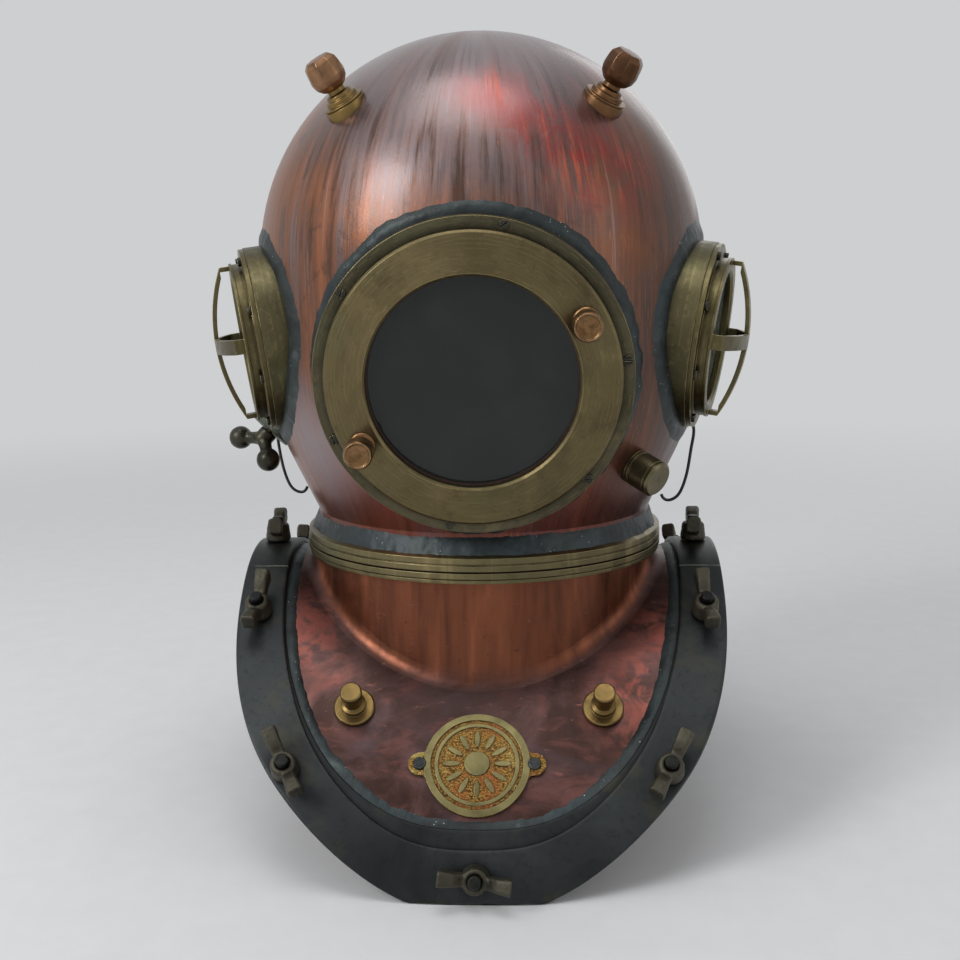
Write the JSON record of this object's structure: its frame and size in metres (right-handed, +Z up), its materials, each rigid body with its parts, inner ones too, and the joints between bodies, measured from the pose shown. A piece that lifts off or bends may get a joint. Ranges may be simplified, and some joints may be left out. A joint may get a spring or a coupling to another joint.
{
  "type": "diving helmet",
  "caption": "Old copper and brass standard diving helmet with round glasses, side guards, wing nuts and a corselet.",
  "frame": {"origin": "on the neck's centre line, level with the lowest edge of the corselet's rim", "axes": "+Z up; the front glass faces -Y; +X to the wearer's left"},
  "size_m": [0.3651, 0.437, 0.517],
  "materials": {
    "bonnet_copper": "old copper, brown with violet haze and pale streaks",
    "corselet_copper": "mottled rosy copper",
    "brass": "aged olive brass, satin",
    "gunmetal": "dark grey-green gunmetal, worn bright at the edges",
    "dark_bronze": "dark bronze, rubbed on the high spots",
    "knob_copper": "warm orange copper, polished by hands",
    "solder": "tarnished blue-grey solder",
    "badge_metal": "pale gold, stippled",
    "glass": "thick plate glass, dark green",
    "leather": "greased leather",
    "putty": "red bedding putty"
  },
  "bodies": {
    "corselet": {"corselet_shell": "corselet_copper", "corselet_rim": "gunmetal", "corselet_solder": "solder", "corselet_neck_ring": "brass", "neck_gasket": "leather", "corselet_studs": "dark_bronze", "brail_front": "gunmetal", "brail_rear": "gunmetal", "brail_left": "gunmetal", "brail_right": "gunmetal", "weight_studs": "brass", "badge_plate": "badge_metal", "badge_screws": "brass", "latch_stop": "brass"},
    "bonnet": {"bonnet_shell": "bonnet_copper", "bonnet_neck_ring": "brass", "bonnet_solder": "solder", "front_frame": "brass", "port_screws": "brass", "left_frame": "brass", "right_frame": "brass", "left_glass": "glass", "right_glass": "glass", "left_gasket": "putty", "right_gasket": "putty", "left_guard": "brass", "right_guard": "brass", "dome_stud_left": "brass", "dome_stud_right": "brass", "neck_hooks": "dark_bronze", "spitcock_body": "brass", "exhaust_housing": "brass", "inlet_elbow": "brass", "phone_boss": "brass", "latch_bracket": "brass", "air_duct": "corselet_copper"},
    "front_carrier": {"front_glass": "glass", "front_gasket": "putty", "front_retainer": "brass"},
    "front_door": {"front_ring": "brass", "front_knobs": "knob_copper"},
    "spitcock_turn": {"spitcock_cap": "brass"},
    "exhaust_disc": {"exhaust_valve": "brass"},
    "exhaust_lever": {"exhaust_handle": "dark_bronze"},
    "inlet_valve": {"inlet_flap": "dark_bronze"},
    "phone_gland": {"phone_cap": "brass"},
    "latch": {"latch_catch": "dark_bronze"},
    "nut_01": {"wing_nut_01": "dark_bronze"},
    "nut_02": {"wing_nut_02": "dark_bronze"},
    "nut_03": {"wing_nut_03": "dark_bronze"},
    "nut_04": {"wing_nut_04": "dark_bronze"},
    "nut_05": {"wing_nut_05": "dark_bronze"},
    "nut_06": {"wing_nut_06": "dark_bronze"},
    "nut_07": {"wing_nut_07": "dark_bronze"},
    "nut_08": {"wing_nut_08": "dark_bronze"},
    "nut_09": {"wing_nut_09": "dark_bronze"},
    "nut_10": {"wing_nut_10": "dark_bronze"},
    "nut_11": {"wing_nut_11": "dark_bronze"},
    "nut_12": {"wing_nut_12": "dark_bronze"}
  },
  "joints": [
    {"name": "bonnet_turn", "type": "hinge", "parent": "corselet", "child": "bonnet", "pos_m": [0, 0, 0.177], "axis": [0, 0, 1], "range_deg": [0, 45]},
    {"name": "front_door_lift", "type": "slide", "parent": "bonnet", "child": "front_carrier", "axis": [0, -0.9903, -0.1392], "range_m": [0, 0.012]},
    {"name": "front_door_turn", "type": "hinge", "parent": "front_carrier", "child": "front_door", "pos_m": [0, -0.1472, 0.2977], "axis": [0, -0.9903, -0.1392], "range_deg": [0, 1440]},
    {"name": "spitcock_turn", "type": "hinge", "parent": "bonnet", "child": "spitcock_turn", "pos_m": [0.0985, -0.09026, 0.2384], "axis": [0.6836, -0.6264, -0.3746], "range_deg": [0, 90]},
    {"name": "exhaust_lift", "type": "slide", "parent": "bonnet", "child": "exhaust_disc", "axis": [-0.646, -0.2876, -0.7071], "range_m": [0, 0.003]},
    {"name": "exhaust_turn", "type": "hinge", "parent": "bonnet", "child": "exhaust_lever", "pos_m": [-0.1536, 0.0084, 0.2494], "axis": [-0.646, -0.2876, -0.7071], "range_deg": [0, 360]},
    {"name": "inlet_swing", "type": "hinge", "parent": "bonnet", "child": "inlet_valve", "pos_m": [0.07403, 0.15877, 0.3482], "axis": [-0.9063, 0.4226, 0], "range_deg": [0, 50]},
    {"name": "phone_gland_turn", "type": "hinge", "parent": "bonnet", "child": "phone_gland", "pos_m": [-0.06339, 0.13595, 0.335], "axis": [-0.4226, 0.9063, 0], "continuous": true},
    {"name": "latch_swing", "type": "hinge", "parent": "bonnet", "child": "latch", "pos_m": [0, 0.131, 0.1905], "axis": [1, 0, 0], "range_deg": [0, 100]},
    {"name": "nut_01_turn", "type": "hinge", "parent": "corselet", "child": "nut_01", "pos_m": [0, -0.1966, 0.01362], "axis": [0, -0.945, 0.3271], "continuous": true},
    {"name": "nut_02_turn", "type": "hinge", "parent": "corselet", "child": "nut_02", "pos_m": [0.1145, -0.165, 0.06612], "axis": [0, -0.7315, 0.6819], "continuous": true},
    {"name": "nut_03_turn", "type": "hinge", "parent": "corselet", "child": "nut_03", "pos_m": [0.1465, -0.079, 0.1395], "axis": [0, -0.5584, 0.8296], "continuous": true},
    {"name": "nut_04_turn", "type": "hinge", "parent": "corselet", "child": "nut_04", "pos_m": [0.1486, 0, 0.171], "axis": [0, 0, 1], "continuous": true},
    {"name": "nut_05_turn", "type": "hinge", "parent": "corselet", "child": "nut_05", "pos_m": [0.1465, 0.079, 0.1395], "axis": [0, 0.5584, 0.8296], "continuous": true},
    {"name": "nut_06_turn", "type": "hinge", "parent": "corselet", "child": "nut_06", "pos_m": [0.1145, 0.165, 0.06612], "axis": [0, 0.7315, 0.6819], "continuous": true},
    {"name": "nut_07_turn", "type": "hinge", "parent": "corselet", "child": "nut_07", "pos_m": [0, 0.1966, 0.01362], "axis": [0, 0.945, 0.3271], "continuous": true},
    {"name": "nut_08_turn", "type": "hinge", "parent": "corselet", "child": "nut_08", "pos_m": [-0.1145, 0.165, 0.06612], "axis": [0, 0.7315, 0.6819], "continuous": true},
    {"name": "nut_09_turn", "type": "hinge", "parent": "corselet", "child": "nut_09", "pos_m": [-0.1465, 0.079, 0.1395], "axis": [0, 0.5584, 0.8296], "continuous": true},
    {"name": "nut_10_turn", "type": "hinge", "parent": "corselet", "child": "nut_10", "pos_m": [-0.1486, 0, 0.171], "axis": [0, 0, 1], "continuous": true},
    {"name": "nut_11_turn", "type": "hinge", "parent": "corselet", "child": "nut_11", "pos_m": [-0.1465, -0.079, 0.1395], "axis": [0, -0.5584, 0.8296], "continuous": true},
    {"name": "nut_12_turn", "type": "hinge", "parent": "corselet", "child": "nut_12", "pos_m": [-0.1145, -0.165, 0.06612], "axis": [0, -0.7315, 0.6819], "continuous": true}
  ],
  "couplings": [
    {"joint": "front_door_lift", "follows": "front_door_turn", "m_per_rad": 0.00047746}
  ]
}
